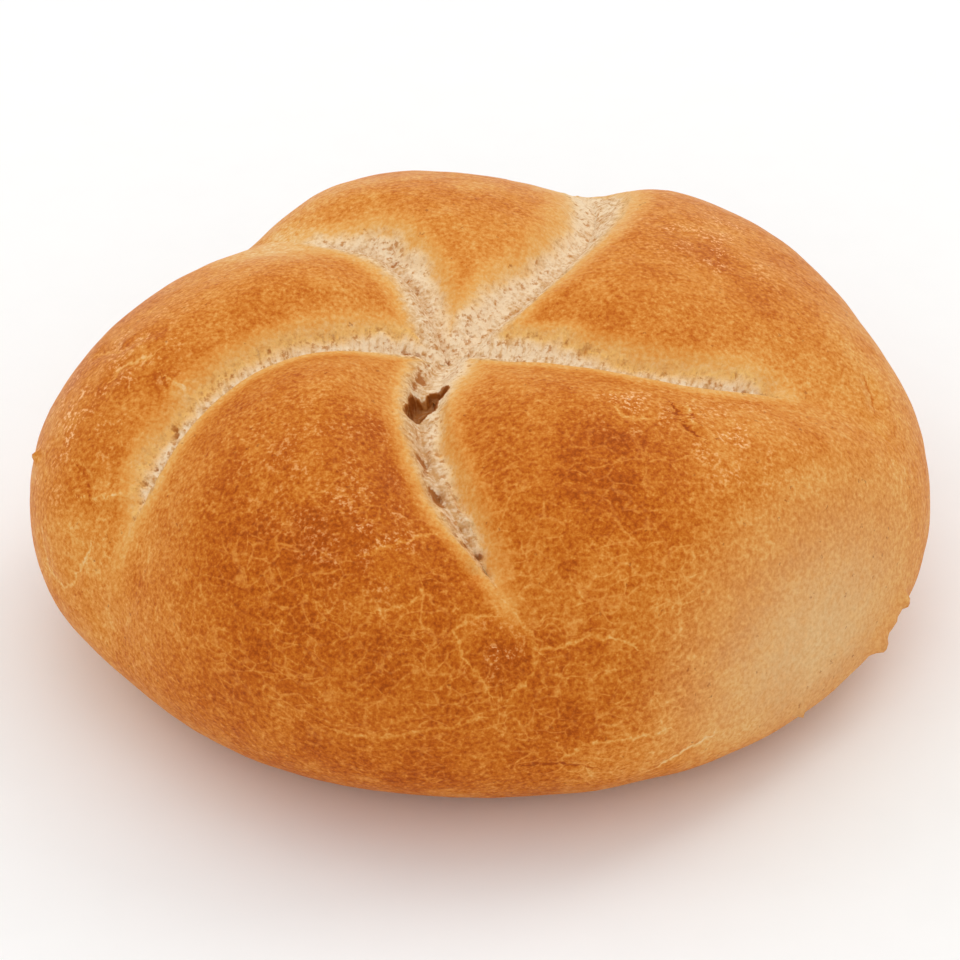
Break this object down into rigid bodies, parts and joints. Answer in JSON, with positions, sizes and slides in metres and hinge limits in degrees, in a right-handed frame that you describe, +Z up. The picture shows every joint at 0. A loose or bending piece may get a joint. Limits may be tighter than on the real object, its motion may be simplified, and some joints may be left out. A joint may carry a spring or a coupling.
{
  "type": "bread roll",
  "caption": "Round crusty bread roll with curved cuts that meet in a sunk pinwheel on its domed top, standing on a flat foot.",
  "frame": {"origin": "on the surface the roll rests on, under the middle of its box", "axes": "+Z up through the domed top; +X along the longer way across; -Y towards the front, where the pinwheel's middle lies nearer"},
  "size_m": [0.1036, 0.0994, 0.0424],
  "materials": {
    "crust": "matte to satin golden-brown crust, browner on the lobes, pale crumb in the cuts"
  },
  "bodies": {
    "root": {"bread_roll": "crust"}
  },
  "joints": []
}
